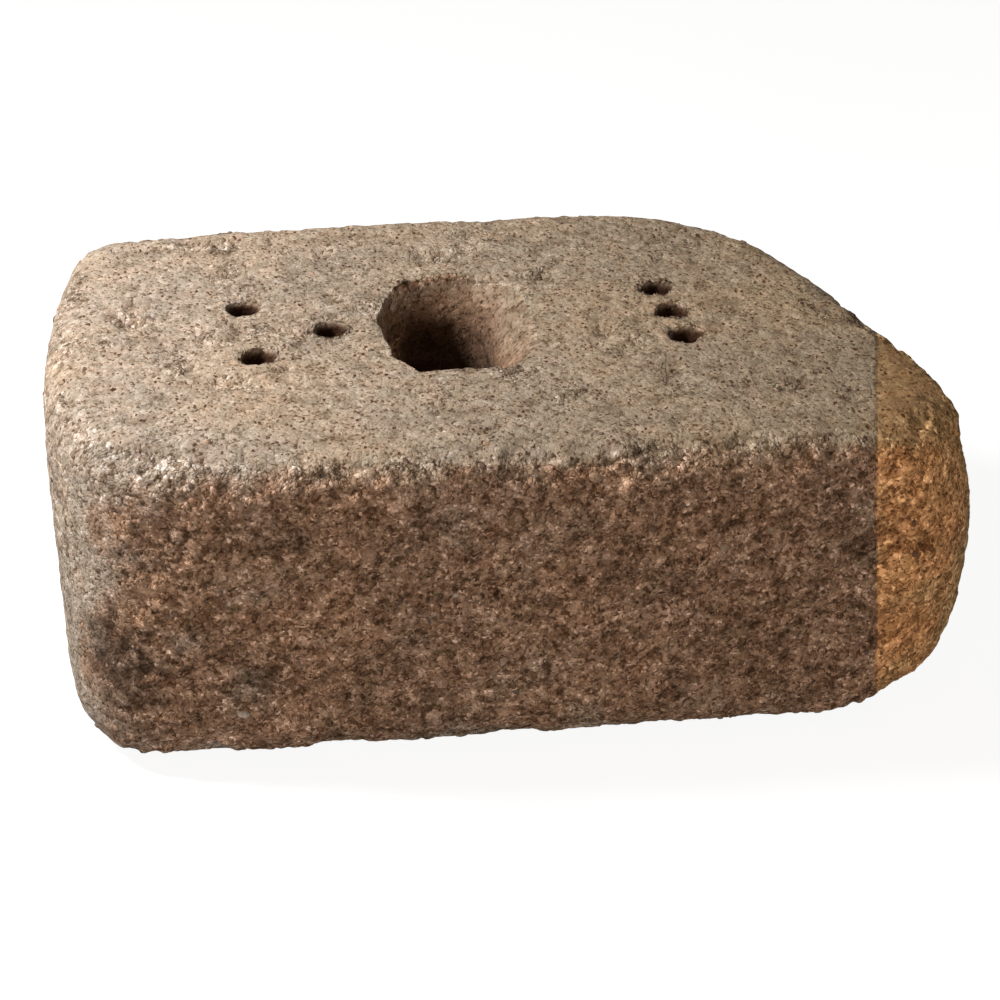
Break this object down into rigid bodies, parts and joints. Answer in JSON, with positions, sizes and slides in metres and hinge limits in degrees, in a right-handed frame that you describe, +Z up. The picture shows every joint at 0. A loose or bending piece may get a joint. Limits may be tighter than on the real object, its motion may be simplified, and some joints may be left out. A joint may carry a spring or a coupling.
{
  "type": "retaining wall block",
  "caption": "Tumbled concrete wall block with a rough split face, worn corners, a through core and six small pin holes.",
  "frame": {"origin": "middle of the bounding box, on the bed face", "axes": "+X along the split face to its right end as seen from the front, +Y from the split face to the tail, +Z up"},
  "size_m": [0.4058, 0.2535, 0.1524],
  "materials": {
    "concrete": "rough split and tumbled concrete, greyish tan with brown faces"
  },
  "bodies": {
    "root": {"block": "concrete"}
  },
  "joints": []
}
